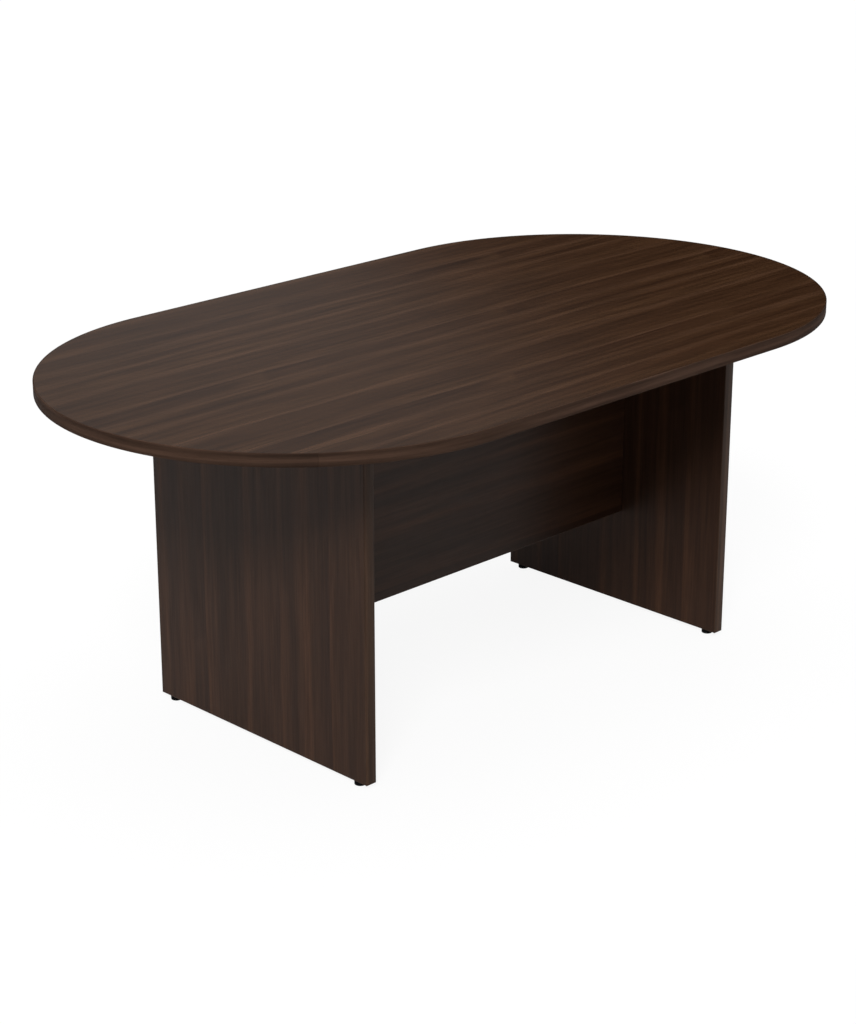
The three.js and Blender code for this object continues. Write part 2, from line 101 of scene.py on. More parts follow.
# Screw feet
PAD_RADIUS = 0.0115
PAD_FLUTES = 12
PAD_FLUTE_RADIUS = 0.0016
PAD_FLUTE_PLACE = 0.0125
PAD_ROUND = 0.0008
PAD_STEPS = 96
PAD_FLUTE_STEPS = 24
STEM_RADIUS = 0.004
STEM_CLEARANCE = 0.0003
STEM_HEAD_RADIUS = 0.006
STEM_HEAD_THICK = 0.003
STEM_PITCH = 0.00125
STEM_CHAMFER = 0.001
SLEEVE_RADIUS = 0.006
SLEEVE_BARB = 0.0005
SLEEVE_BARBS = 3
FOOT_HOLE_RADIUS = 0.0062
FOOT_HOLE_DEPTH = 0.0345

ROUND_STEPS = 48  # facets of the turned pieces
BALL_STEPS = 12  # facets of a ball head's profile
THREAD_STEPS = 20  # facets of one turn of a thread
THREAD_DEPTH = 0.6  # of its pitch
THREAD_PROFILE = [(0, 0), (0.12, 0), (0.46, 1), (0.62, 1), (0.96, 0), (1, 0)]  # of pitch and depth
CUT_STAND = 0.001  # how far a cutting shape stands out of what it cuts
NEAR = 1e-6  # places closer than this are the same
LEVEL = 0.9  # a face lies level if its normal stands up by this much
SMOOTH_ANGLE = math.radians(32)

# Floor and light
FLOOR_SIZE = 80
FLOOR_SHADE = 0.5  # what the paper throws back on the table
FLOOR_LOOK = 0.94  # and to the eye
FLOOR_WHITE_SHARE = 0.91  # the rest takes the table's shadow
FLOOR_SHINE_SHARE = 0.4  # and the same where a reflection looks
ZENITH_LIGHT = 2.28
ZENITH_FOCUS = 4
KEY_AZIMUTH = math.radians(217)
KEY_ELEVATION = math.radians(42)
KEY_SOFTNESS = math.radians(18)
KEY_LIGHT = 2.28
CARD_RADIUS = 4.5
CARD_HEIGHT = 5
CARD_STEPS = 96
CARD_FADE = (0.40, 0.48)  # of its height, up from its middle, where its glow fades out
CARD_SINK = 0.2  # below the floor
CARD_LEAN = 0.04  # of a turn for each metre up from its middle
CARD_TONES = [  # round the room from -X by way of -Y
    (0.44, (0.36, 0.36, 0.36, 1)),
    (0.47, (0, 0, 0, 1)),
    (0.605, (0, 0, 0, 1)),
    (0.613, (0.31, 0.31, 0.31, 1)),
]

# Camera, set to the photograph's viewpoint
CAMERA_AZIMUTH = math.radians(-44.946)
CAMERA_ELEVATION = math.radians(20.168)
CAMERA_TARGET = Vector((-0.084136, -0.018112, 0.365))
CAMERA_DISTANCE = 4.84314
CAMERA_LENS = 84.703
CAMERA_SENSOR = 36

CAM_BELOW = BALL_RADIUS + BALL_CLEARANCE + CAM_FLOOR  # from the bolt's axis to the cam's underside
FITTINGS = [
    *(f"{side}_{place}_top" for side in ("left", "right") for place in ("front", "rear")),
    *(f"{side}_{place}_cross" for side in ("left", "right") for place in ("upper", "lower")),
    *(f"{side}_cross_top" for side in ("left", "right")),
]
X, Z = Vector((1, 0, 0)), Vector((0, 0, 1))


# Finishes


def colour(red, green, blue):
    """A paint-card colour of 0 to 255, as the linear colour that shaders take."""
    linear = [
        c / 12.92 if c <= 0.04045 else ((c + 0.055) / 1.055) ** 2.4
        for c in (red / 255, green / 255, blue / 255)
    ]
    return (*linear, 1)


def feed(material, socket, value):
    """Links a socket to another node's output, or sets it to a plain value."""
    if isinstance(value, bpy.types.NodeSocket):
        material.node_tree.links.new(value, socket)
    else:
        socket.default_value = value


def set_sockets(material, node, **sockets):
    """Feeds a node's inputs by their names."""
    for name, value in sockets.items():
        feed(material, node.inputs[name.replace("_", " ")], value)


def add_node(material, kind, settings=None, **sockets):
    """Adds a shader node, sets its settings and feeds its inputs."""
    node = material.node_tree.nodes.new(kind)
    for name, value in (settings or {}).items():
        setattr(node, name, value)
    set_sockets(material, node, **sockets)
    return node


def new_finish(name):
    """A material with its Principled shader, empty of patterns."""
    material = bpy.data.materials.new(name)
    material.use_nodes = True
    return material, material.node_tree.nodes["Principled BSDF"]


def ramp(material, value, stops):
    """A colour ramp with stops of (place, colour)."""
    node = add_node(material, "ShaderNodeValToRGB", Fac=value)
    elements = node.color_ramp.elements
    while len(elements) < len(stops):
        elements.new(0.5)
    for element, (place, tone) in zip(elements, stops):
        element.position = place
        element.color = tone
    return node.outputs["Color"]


def spread(material, value, low, high, to_low, to_high, clamp=True):
    """A value's range from low to high, spread over another range."""
    node = add_node(
        material, "ShaderNodeMapRange", {"clamp": clamp},
        Value=value, From_Min=low, From_Max=high, To_Min=to_low, To_Max=to_high,
    )
    return node.outputs["Result"]


def sum_of(material, operation, *values):
    """A sum worked out on values that are numbers or other nodes' outputs."""
    node = add_node(material, "ShaderNodeMath", {"operation": operation})
    for socket, value in zip(node.inputs, values):
        feed(material, socket, value)
    return node.outputs["Value"]


def mixed(material, blend, amount, under, over):
    """Two colours mixed or multiplied by an amount."""
    node = add_node(
        material, "ShaderNodeMixRGB", {"blend_type": blend},
        Fac=amount, Color1=under, Color2=over,
    )
    return node.outputs["Color"]


def mixed_shaders(material, share, under, over):
    """Two surfaces, with the second one's share."""
    node = add_node(material, "ShaderNodeMixShader", Fac=share)
    feed(material, node.inputs[1], under)
    feed(material, node.inputs[2], over)
    return node.outputs["Shader"]


def own_place(material):
    """The place on the piece itself."""
    return add_node(material, "ShaderNodeTexCoord").outputs["Object"]


def own_axis(material, axis):
    """The place on the piece along one of its axes."""
    place = own_place(material)
    return add_node(material, "ShaderNodeSeparateXYZ", Vector=place).outputs[axis.upper()]


def stretched_noise(material, scale, shift=(0, 0, 0), detail=2.0, roughness=0.5):
    """Noise on the piece's own place, stretched by a different scale along each axis."""
    place = own_place(material)
    mapping = add_node(material, "ShaderNodeMapping", Vector=place, Location=shift, Scale=scale)
    noise = add_node(
        material, "ShaderNodeTexNoise",
        Vector=mapping.outputs["Vector"], Scale=1.0, Detail=detail, Roughness=roughness,
    )
    return noise.outputs["Fac"]


def even_noise(material, scale, detail=2.0, roughness=0.5):
    """Noise on the piece's own place, the same every way."""
    return stretched_noise(material, (scale, scale, scale), detail=detail, roughness=roughness)


def along_grain(grain, along, across):
    """Scale of a pattern that runs along the named axes and is fine across them."""
    return tuple(along if axis in grain else across for axis in "xyz")


# Bands along the grain, and the figures that break them
BAND_BEND = (-0.012, 0.012)  # how far a band wanders, in metres
BAND_BEND_SCALE = (1.7, 5)  # along and across the grain
BAND_FADE = (0.45, 1.0)
BAND_FADE_SCALE = (2.2, 16)
BAND_FADE_RANGE = (0.34, 0.58)
EDGE_REPEAT = 0.09  # one repeat of the bands on an edging strip
FIGURE_START = 0.186  # along the grain
FIGURE_STEP = 0.648
FIGURE_SLANT = 0.327  # of a step, over one repeat of the bands
FIGURE_SHARE = 0.8
FIGURE_END = (0.150, 0.175)  # of a repeat, where the dark band ends
FIGURE_FADE = [
    (0.0, (0, 0, 0, 1)), (0.84, (0, 0, 0, 1)), (0.975, (1, 1, 1, 1)), (1.0, (0, 0, 0, 1)),
]
BANDS = [  # one repeat of the facing's bands: the share of it, and the tone there
    (0.000, "dark"), (0.130, "dull"), (0.162, "streak"), (0.196, "streak"), (0.218, "light"),
    (0.245, "middle"), (0.275, "dull"), (0.290, "dark"), (0.315, "dull"), (0.345, "light"),
    (0.360, "streak"), (0.375, "streak"), (0.392, "middle"), (0.430, "dull"), (0.490, "middle"),
    (0.535, "light"), (0.580, "middle"), (0.604, "light"), (0.625, "streak"), (0.650, "streak"),
    (0.675, "middle"), (0.705, "dull"), (0.850, "dull"), (0.900, "middle"), (0.945, "light"),
    (0.975, "streak"), (0.992, "streak"), (1.000, "dark"),
]
# Layers of the grain, each darkening the tone to its shade where its pattern is low
CLOUDS = dict(
    scale=(1.3, 15), detail=5.0, roughness=0.68,
    low=0.30, high=0.70, shade=(224, 222, 220), share=0.8,
)
STREAKS = dict(
    scale=(4, 85), detail=3.0, roughness=0.6,
    low=0.36, high=0.62, shade=(203, 199, 195), share=0.9,
)
FIBRES = dict(
    scale=(9, 420), detail=3.0, roughness=0.6,
    low=0.30, high=0.70, shade=(216, 214, 211), share=0.75,
)
PORE_SCALE = (60, 2400)
PORE_RANGE = (0.64, 0.72)
PORE_SHARE = 0.45
PORE_TONE = (24, 15, 10)
PORE_RELIEF = (0.60, 0.72)

FACE_TONES = {
    "dark": colour(60, 38, 24), "dull": colour(67, 44, 28), "middle": colour(72, 48, 31),
    "light": colour(76, 52, 34), "streak": colour(82, 57, 40),
}
PANEL_TONES = {
    "dark": colour(57, 36, 25), "dull": colour(62, 40, 27), "middle": colour(66, 43, 30),
    "light": colour(70, 46, 32), "streak": colour(79, 52, 36),
}
EDGE_TONES = {
    "dark": colour(61, 42, 30), "dull": colour(67, 47, 34), "middle": colour(73, 52, 38),
    "light": colour(78, 56, 42), "streak": colour(84, 60, 45),
}
TOP_EDGE_TONES = {
    "dark": colour(68, 49, 38), "dull": colour(74, 54, 43), "middle": colour(81, 60, 48),
    "light": colour(86, 64, 52), "streak": colour(93, 69, 56),
}
# Painted light and shade on the top's strip: paler along the front, which faces the key light, and
# darker round the left end, which faces away from it. The step at the butt joint is the strip's own
# tone.
BUTT_TONES_AND_PAINTED_SHADE = [  # tone of the top's strip and painted shade on it, by the share of a turn from its butt joint
    (0.0, 230), (0.05, 232), (0.13, 243), (0.3, 247), (0.5, 236), (0.8, 220),
    (0.865, 212), (0.915, 250), (0.95, 240), (1.0, 206),
]
# Roughness of the paler and of the darker fibres, and strength of the shine
FACE_GLOSS, FACE_SHINE = (0.242, 0.250), 0.092
PANEL_GLOSS, PANEL_SHINE = (0.42, 0.52), 0.125
CROSS_GLOSS = (0.32, 0.42)
TOP_EDGE_GLOSS, TOP_EDGE_SHINE = (0.80, 0.90), 0.10

# Scales of the other finishes' patterns, for a metre
CHIP_SCALE = 900
ZINC_SCALE = 3000
STEEL_SCALE = 5000
METAL_CLOUDS = 1 / 6  # of the metal's own grain
FLECK_SCALE = 900
NYLON_SCALE = 2600
RUB_SCALE = 220


def figured(material, grain, count, turns, bands, tones):
    """Slanting pale figures that break the dark bands, half a step further along in each repeat."""
    along = own_axis(material, grain[0])
    steps = spread(material, along, FIGURE_START, FIGURE_START + FIGURE_STEP, 0, 1, clamp=False)
    row = sum_of(material, "FLOOR", count)
    shifted = sum_of(material, "MULTIPLY_ADD", row, 0.5, steps)
    slanted = sum_of(material, "MULTIPLY_ADD", turns, FIGURE_SLANT, shifted)
    pale = ramp(material, sum_of(material, "FRACT", slanted), FIGURE_FADE)
    dark_band = spread(material, turns, *FIGURE_END, FIGURE_SHARE, 0)
    share = sum_of(material, "MULTIPLY", pale, dark_band)
    return mixed(material, "MIX", share, bands, tones["light"])


def banded(material, grain, across, start, repeat, shift, tones):
    """The facing's bands, which lie across an axis, wander a little and fade in and out."""
    wander = stretched_noise(material, along_grain(grain, *BAND_BEND_SCALE), shift)
    bend = spread(material, wander, 0, 1, *BAND_BEND)
    bent = sum_of(material, "ADD", own_axis(material, across), bend)
    count = spread(material, bent, start, start + repeat, 0, 1, clamp=False)
    turns = sum_of(material, "FRACT", count)
    bands = ramp(material, turns, [(place, tones[tone]) for place, tone in BANDS])
    bands = figured(material, grain, count, turns, bands, tones)
    fading = stretched_noise(material, along_grain(grain, *BAND_FADE_SCALE), shift)
    share = spread(material, fading, *BAND_FADE_RANGE, *BAND_FADE)
    return mixed(material, "MIX", share, tones["middle"], bands)


def grained(material, grain, shift, tone, scale, detail, roughness, low, high, shade, share):
    """A tone darkened by one layer of the grain, and the layer's pattern."""
    pattern = stretched_noise(material, along_grain(grain, *scale), shift, detail, roughness)
    shades = ramp(material, pattern, [(low, colour(*shade)), (high, colour(255, 255, 255))])
    return mixed(material, "MULTIPLY", share, tone, shades), pattern


def walnut(name, grain, across, start, repeat, shift, tones, gloss, shine):
    """Dark walnut facing: bands with pale edges along the grain, clouds, fibres and pores."""
    material, shader = new_finish(name)
    tone = banded(material, grain, across, start, repeat, shift, tones)
    for layer in (CLOUDS, STREAKS, FIBRES):
        tone, fibres = grained(material, grain, shift, tone, **layer)
    pores = stretched_noise(material, along_grain(grain, *PORE_SCALE), shift, detail=1.0)
    pore_share = spread(material, pores, *PORE_RANGE, 0, PORE_SHARE)
    tone = mixed(material, "MIX", pore_share, tone, colour(*PORE_TONE))

    pale, dark = gloss
    roughness = spread(material, fibres, FIBRES["low"], FIBRES["high"], dark, pale)
    relief = spread(material, pores, *PORE_RELIEF, 1, 0)
    bump = add_node(material, "ShaderNodeBump", Strength=0.06, Distance=0.0001, Height=relief)
    set_sockets(
        material, shader,
        Base_Color=tone, Roughness=roughness, Specular_IOR_Level=shine,
        Normal=bump.outputs["Normal"],
    )
    return material


def strip_tone_and_painted_shade(material):
    """Varies the strip round the top: a step at its butt joint, and painted light and shade."""
    shader = material.node_tree.nodes["Principled BSDF"]
    tone = shader.inputs["Base Color"].links[0].from_socket
    turned_to_butt = add_node(
        material, "ShaderNodeMapping",
        Vector=own_place(material), Rotation=(0, 0, math.pi - BUTT_DIRECTION),
    )
    round_the_top = add_node(
        material, "ShaderNodeTexGradient", {"gradient_type": "RADIAL"},
        Vector=turned_to_butt.outputs["Vector"],
    )
    stops = [(share, colour(grey, grey, grey)) for share, grey in BUTT_TONES_AND_PAINTED_SHADE]
    # painted light and shade: paler along the front, darker round the left end
    shade = ramp(material, round_the_top.outputs["Fac"], stops)
    set_sockets(material, shader, Base_Color=mixed(material, "MULTIPLY", 1.0, tone, shade))


def chipboard():
    """Raw board inside a drilled hole: pressed chips of mixed browns."""
    material, shader = new_finish("raw_chipboard")
    chips = even_noise(material, CHIP_SCALE, detail=3.0, roughness=0.7)
    tone = ramp(material, chips, [
        (0.32, colour(120, 92, 62)), (0.5, colour(168, 136, 98)), (0.7, colour(196, 168, 128)),
    ])
    bump = add_node(material, "ShaderNodeBump", Strength=0.4, Distance=0.0003, Height=chips)
    set_sockets(material, shader, Base_Color=tone, Roughness=0.9, Normal=bump.outputs["Normal"])
    return material


def bare_metal(name, tones, scale, gloss, relief):
    """Cast or plated metal: cloudy tone and roughness, with a fine grain in the surface."""
    material, shader = new_finish(name)
    clouds = even_noise(material, scale * METAL_CLOUDS, detail=3.0, roughness=0.6)
    grain = even_noise(material, scale)
    tone = ramp(material, clouds, [(0.35, tones[0]), (0.65, tones[1])])
    roughness = spread(material, clouds, 0.3, 0.7, *gloss)
    bump = add_node(material, "ShaderNodeBump", Strength=relief, Distance=0.00005, Height=grain)
    set_sockets(
        material, shader,
        Base_Color=tone, Metallic=1.0, Roughness=roughness, Normal=bump.outputs["Normal"],
    )
    return material


def beech():
    material, shader = new_finish("beech_wood")
    flecks = even_noise(material, FLECK_SCALE, detail=3.0, roughness=0.65)
    tone = ramp(material, flecks, [(0.35, colour(176, 134, 86)), (0.65, colour(212, 178, 128))])
    set_sockets(material, shader, Base_Color=tone, Roughness=0.7)
    return material


def black_nylon():
    """Moulded black nylon with a fine matt grain, rubbed paler in patches."""
    material, shader = new_finish("black_nylon")
    grain = even_noise(material, NYLON_SCALE)
    rubbed = even_noise(material, RUB_SCALE, detail=3.0)
    tone = ramp(material, rubbed, [(0.4, colour(7, 7, 7)), (0.75, colour(13, 12, 12))])
    roughness = spread(material, rubbed, 0.3, 0.7, 0.72, 0.58)
    bump = add_node(material, "ShaderNodeBump", Strength=0.15, Distance=0.00005, Height=grain)
    set_sockets(
        material, shader,
        Base_Color=tone, Roughness=roughness, Specular_IOR_Level=0.05,
        Normal=bump.outputs["Normal"],
    )
    return material


walnut_top = walnut(
    "walnut_top", grain="x", across="y", start=0.030, repeat=-0.331, shift=(0.0, 0.0, 0.0),
    tones=FACE_TONES, gloss=FACE_GLOSS, shine=FACE_SHINE,
)
walnut_panel = walnut(
    "walnut_panel", grain="z", across="y", start=0.153, repeat=0.360, shift=(3.1, 7.7, 1.3),
    tones=PANEL_TONES, gloss=PANEL_GLOSS, shine=PANEL_SHINE,
)
walnut_cross = walnut(
    "walnut_cross", grain="x", across="z", start=0.235, repeat=-0.331, shift=(5.2, 1.9, 4.4),
    tones=PANEL_TONES, gloss=CROSS_GLOSS, shine=PANEL_SHINE,
)
top_edge = walnut(
    "walnut_top_edging", grain="xy", across="z", start=0.7, repeat=EDGE_REPEAT,
    shift=(2.0, 3.0, 9.0), tones=TOP_EDGE_TONES, gloss=TOP_EDGE_GLOSS, shine=TOP_EDGE_SHINE,
)
upright_edge, depth_edge, length_edge = (
    walnut(
        f"walnut_{run}_edging", grain, across, start, EDGE_REPEAT, shift,
        tones=EDGE_TONES, gloss=PANEL_GLOSS, shine=PANEL_SHINE,
    )
    for run, grain, across, start, shift in (
        ("upright", "z", "x", 0.5, (6.0, 1.0, 2.0)),
        ("depth", "y", "x", 0.5, (1.0, 5.0, 8.0)),
        ("length", "x", "y", 0.0, (4.0, 6.0, 1.0)),
    )
)
# the top's strip: a step at its butt joint, and painted light and shade round the top
strip_tone_and_painted_shade(top_edge)
raw_board = chipboard()
cast_zinc = bare_metal(
    "cast_zinc", (colour(158, 160, 163), colour(186, 188, 190)),
    scale=ZINC_SCALE, gloss=(0.5, 0.38), relief=0.25,
)
plated_steel = bare_metal(
    "plated_steel", (colour(184, 186, 190), colour(208, 210, 212)),
    scale=STEEL_SCALE, gloss=(0.34, 0.24), relief=0.1,
)
beech_wood = beech()
black_plastic = black_nylon()


# Modelling


def clear_selection():
    bpy.ops.object.select_all(action="DESELECT")


def take(piece):
    """Makes a piece the only one selected and the one that operators work on."""
    clear_selection()
    piece.select_set(True)
    bpy.context.view_layer.objects.active = piece
    return piece


def block(low, high):
    """A block between two corners."""
    clear_selection()
    bpy.ops.mesh.primitive_cube_add(size=1, location=(low + high) / 2, scale=high - low)
    bpy.ops.object.transform_apply(location=True, rotation=True, scale=True)
    return bpy.context.object


def rod(start, along, radius, length, facets=ROUND_STEPS):
    """A round rod from a point along a direction."""
    clear_selection()
    bpy.ops.mesh.primitive_cylinder_add(
        vertices=facets,
        radius=radius,
        depth=length,
        location=start + along * (length / 2),
        rotation=along.to_track_quat("Z", "Y").to_euler(),
    )
    bpy.ops.object.transform_apply(location=True, rotation=True, scale=True)
    return bpy.context.object


def pick(piece, kind, wanted):
    """Opens a piece in edit mode with the wanted corners, edges or faces selected."""
    take(piece)
    bpy.ops.object.mode_set(mode="EDIT")
    bpy.ops.mesh.select_mode(type=kind)
    bpy.ops.mesh.select_all(action="DESELECT")
    mesh = bmesh.from_edit_mesh(piece.data)
    for part in {"VERT": mesh.verts, "EDGE": mesh.edges, "FACE": mesh.faces}[kind]:
        part.select_set(wanted(part))
    mesh.select_flush_mode()
    bmesh.update_edit_mesh(piece.data)


def close_up(piece):
    """Merges what meets, points the faces outwards and leaves edit mode."""
    bpy.ops.mesh.select_all(action="SELECT")
    bpy.ops.mesh.remove_doubles(threshold=NEAR)
    bpy.ops.mesh.dissolve_degenerate(threshold=NEAR / 10)
    bpy.ops.mesh.select_all(action="SELECT")
    bpy.ops.mesh.normals_make_consistent(inside=False)
    bpy.ops.object.mode_set(mode="OBJECT")
    return piece


def round_over(piece, wanted, radius, segments=ROUND_SEGMENTS):
    """Rounds the wanted edges."""
    pick(piece, "EDGE", wanted)
    bpy.ops.mesh.bevel(
        offset=radius, segments=segments, profile=0.5, affect="EDGES", clamp_overlap=False
    )
    return close_up(piece)


def join(pieces):
    take(pieces[0])
    for piece in pieces:
        piece.select_set(True)
    bpy.ops.object.join()
    return bpy.context.object


def cut_away(piece, cutter):
    """Cuts a shape out of a piece and removes the cutting shape."""
    take(piece)
    bpy.ops.object.modifier_add(type="BOOLEAN")
    cut = piece.modifiers[-1]
    cut.operation = "DIFFERENCE"
    cut.solver = "EXACT"
    cut.object = cutter
    bpy.ops.object.modifier_apply(modifier=cut.name)
    take(cutter)
    bpy.ops.object.delete()
    return take(piece)


def smooth(piece):
    take(piece)
    bpy.ops.object.shade_smooth_by_angle(angle=SMOOTH_ANGLE)
    return piece


def upright(edge):
    a, b = (corner.co for corner in edge.verts)
    return abs(a.x - b.x) < NEAR and abs(a.y - b.y) < NEAR


def rim_at(height):
    """Chooses the edges that lie level at a height."""
    return lambda edge: all(abs(corner.co.z - height) < NEAR for corner in edge.verts)


def draw_line(points):
    """A line drawn from point to point, left open in edit mode with all of it selected."""
    clear_selection()
    bpy.ops.mesh.primitive_plane_add(size=1)
    line = bpy.context.object
    bpy.ops.object.mode_set(mode="EDIT")
    bpy.ops.mesh.select_mode(type="VERT")
    bpy.ops.mesh.select_all(action="SELECT")
    bpy.ops.mesh.merge(type="CENTER")
    bpy.ops.transform.translate(value=points[0])
    for start, end in zip(points, points[1:]):
        bpy.ops.mesh.extrude_region_move(TRANSFORM_OT_translate={"value": end - start})
    bpy.ops.mesh.select_all(action="SELECT")
    return line


def profile(points):
    """Points beside the lathe's axis, from distances from the axis and heights."""
    return [Vector((radius, 0, height)) for radius, height in points]


def turned(points, facets=ROUND_STEPS):
    """A turned piece about +Z: its profile, spun a full turn."""
    piece = draw_line(profile(points))
    bpy.ops.mesh.spin(steps=facets, angle=math.tau, center=(0, 0, 0), axis=(0, 0, 1))
    return close_up(piece)


def plate(outline, low, high):
    """A plate with a drawn outline, between two heights."""
    piece = draw_line([Vector((x, y, low)) for x, y in outline])
    bpy.ops.mesh.edge_face_add()
    bpy.ops.mesh.extrude_region_move(TRANSFORM_OT_translate={"value": (0, 0, high - low)})
    return close_up(piece)


def threaded_rod(radius, pitch, start, end, chamfer):
    """A threaded rod about +Z between two heights, with a chamfered end and both ends closed."""
    turns = round((end - chamfer - start) / pitch)
    pitch = (end - chamfer - start) / turns
    root = radius - THREAD_DEPTH * pitch
    tip = turned([
        (0, end - chamfer - pitch), (root, end - chamfer - pitch), (root, end - chamfer),
        (radius - chamfer, end), (0, end),
    ])
    ridge = draw_line(profile([
        (root + (radius - root) * out, start + pitch * rise) for rise, out in THREAD_PROFILE
    ]))
    bpy.ops.object.mode_set(mode="OBJECT")
    bpy.ops.object.modifier_add(type="SCREW")
    screw = ridge.modifiers[-1]
    screw.screw_offset = pitch
    screw.iterations = turns - 1
    screw.steps = screw.render_steps = THREAD_STEPS
    bpy.ops.object.modifier_apply(modifier=screw.name)
    bpy.ops.object.mode_set(mode="EDIT")
    bpy.ops.mesh.select_all(action="SELECT")
    bpy.ops.mesh.remove_doubles(threshold=NEAR)
    bpy.ops.mesh.select_all(action="SELECT")
    bpy.ops.mesh.fill_holes(sides=0)
    return join([close_up(ridge), tip])


def copy_to(master, place):
    """A copy of a piece with its own mesh, moved to a place and set down there."""
    take(master)
    bpy.ops.object.duplicate()
    copy = bpy.context.object
    copy.matrix_world = place
    bpy.ops.object.transform_apply(location=True, rotation=True, scale=True)
    return copy


def give(piece, *finishes):
    for finish in finishes:
        piece.data.materials.append(finish)
    return piece


def set_in(piece, node, body):
    """Puts a finished piece in the place of its CAD node."""
    piece.name = piece.data.name = f"{node}_piece"
    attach(piece, body)
    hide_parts(node)
    return piece


def clear_away(piece):
    take(piece)
    bpy.ops.object.delete()


# The top


def rounded_slab(low, high):
    """A slab with half-round ends."""
    slab = block(low, high)
    return round_over(slab, upright, (high.y - low.y) / 2, END_SEGMENTS)


def build_top():
    low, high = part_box("top_board")
    board = give(smooth(rounded_slab(low, high)), walnut_top)
    set_in(board, "top_board", "table")

    low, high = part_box("top_edging")
    strip = rounded_slab(low, high)
    pick(strip, "FACE", lambda face: abs(face.normal.z) > LEVEL)
    bpy.ops.mesh.inset(thickness=EDGING_THICK, depth=0)
    bpy.ops.mesh.delete(type="FACE")
    bpy.ops.object.mode_set(mode="OBJECT")
    pick(strip, "EDGE", lambda edge: edge.is_boundary)
    bpy.ops.mesh.bridge_edge_loops()
    close_up(strip)
    end_centre = high.x - high.y

    def outer_arris(edge):
        """An edge on the strip's outside, at its top or bottom."""
        return all(
            min(abs(at.z - low.z), abs(at.z - high.z)) < NEAR
            and math.hypot(max(abs(at.x) - end_centre, 0), at.y) > high.y - EDGING_THICK / 2
            for at in (corner.co for corner in edge.verts)
        ) and abs(edge.verts[0].co.z - edge.verts[1].co.z) < NEAR

    round_over(strip, outer_arris, EDGING_ROUND)
    saw = block(
        Vector((high.y - 2 * EDGING_THICK, -BUTT_GAP / 2, low.z - CUT_STAND)),
        Vector((high.y + EDGING_THICK, BUTT_GAP / 2, high.z + CUT_STAND)),
    )
    saw.matrix_world = Matrix.Translation((-end_centre, 0, 0)) @ Matrix.Rotation(BUTT_ANGLE, 4, "Z")
    cut_away(strip, saw)
    give(smooth(strip), top_edge)
    set_in(strip, "top_edging", "table")


# End panels and cross panel


def drill(board, finish, holes):
    """Cuts the joined holes out of a board and shows raw board in them."""
    drills = join(holes)
    for piece in (board, drills):
        give(piece, finish, raw_board)
    take(drills)
    bpy.ops.object.mode_set(mode="EDIT")
    bpy.ops.mesh.select_all(action="SELECT")
    drills.active_material_index = 1
    bpy.ops.object.material_slot_assign()
    bpy.ops.object.mode_set(mode="OBJECT")
    return smooth(cut_away(board, drills))


def cam_hole(name, thick):
    """The hole that a cam disc sits in, from the board's face."""
    axis, out, _ = fitting_place(name)
    mouth = axis + out * (thick / 2 + CUT_STAND)
    return rod(mouth, -out, CAM_HOLE_RADIUS, thick / 2 + CAM_BELOW + CAM_CLEARANCE + CUT_STAND)


def foot_hole(place):
    low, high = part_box(f"{place}_foot_sleeve")
    mouth = Vector(((low.x + high.x) / 2, (low.y + high.y) / 2, low.z - CUT_STAND))
    return rod(mouth, Z, FOOT_HOLE_RADIUS, FOOT_HOLE_DEPTH + CUT_STAND)


def edging_strip(node, finish, along, outside, holes=()):
    """A straight strip along an axis, rounded along both edges of its outer face."""
    low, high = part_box(node)
    length_axis, face_axis = "xyz".index(along), "xyz".index(outside[1])
    face = (low if outside[0] == "-" else high)[face_axis]

    def outer_arris(edge):
        a, b = (corner.co for corner in edge.verts)
        on_face = abs(a[face_axis] - face) < NEAR and abs(b[face_axis] - face) < NEAR
        return on_face and abs(a[length_axis] - b[length_axis]) > NEAR

    strip = round_over(block(low, high), outer_arris, EDGING_ROUND)
    if holes:
        drill(strip, finish, holes)
    else:
        give(smooth(strip), finish)
    set_in(strip, node, "table")


def build_end_panel(side):
    node = f"{side}_end_panel"
    low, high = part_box(node)
    holes = [cam_hole(f"{side}_{place}_top", high.x - low.x) for place in ("front", "rear")]
    holes += [foot_hole(f"{side}_{place}") for place in ("front", "rear")]
    set_in(drill(block(low, high), walnut_panel, holes), node, "table")

    edging_strip(f"{side}_front_edging", upright_edge, along="z", outside="-y")
    edging_strip(f"{side}_rear_edging", upright_edge, along="z", outside="+y")
    holes = [foot_hole(f"{side}_{place}") for place in ("front", "rear")]
    edging_strip(f"{side}_bottom_edging", depth_edge, along="y", outside="-z", holes=holes)


def build_cross_panel():
    low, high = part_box("cross_panel")
    names = [name for name in FITTINGS if "cross" in name]
    holes = [cam_hole(name, high.y - low.y) for name in names]
    set_in(drill(block(low, high), walnut_cross, holes), "cross_panel", "table")
    edging_strip("cross_panel_edging", length_edge, along="x", outside="-z")


# Cam fittings and dowels


def fitting_place(name):
    """Where a cam's axis crosses its bolt, and which way its face looks and its bolt runs."""
    turn = next(joint for joint in frame["joints"] if joint["child"] == f"{name}_cam")
    along = Z if name.endswith("_top") else {"left": -X, "right": X}[name.split("_")[0]]
    return Vector(turn["pos_m"]), Vector(turn["axis"]), along


def basis(origin, x, y, z):
    """The place of a piece that was modelled at the origin, from its own three axes."""
    turn = Matrix((x, y, z)).transposed().to_4x4()
    return Matrix.Translation(origin) @ turn


def arc(radius, start, end, steps):
    angles = [start + (end - start) * i / steps for i in range(steps + 1)]
    return [(radius(a) * math.cos(a), radius(a) * math.sin(a)) for a in angles]


def spiral_pocket():
    """Where the bolt's ball head runs: it widens towards the opening, along a spiral."""

    def reach(angle):
        back = -angle % math.tau
        rise = CAM_PITCH_UP * back / CAM_OPEN if back < CAM_OPEN else 0
        return BALL_OFFSET + BALL_RADIUS + BALL_CLEARANCE + rise

    outline = arc(reach, 0, math.tau, ROUND_STEPS)[:-1]
    return plate(outline, -BALL_RADIUS - BALL_CLEARANCE, BALL_RADIUS + BALL_CLEARANCE)


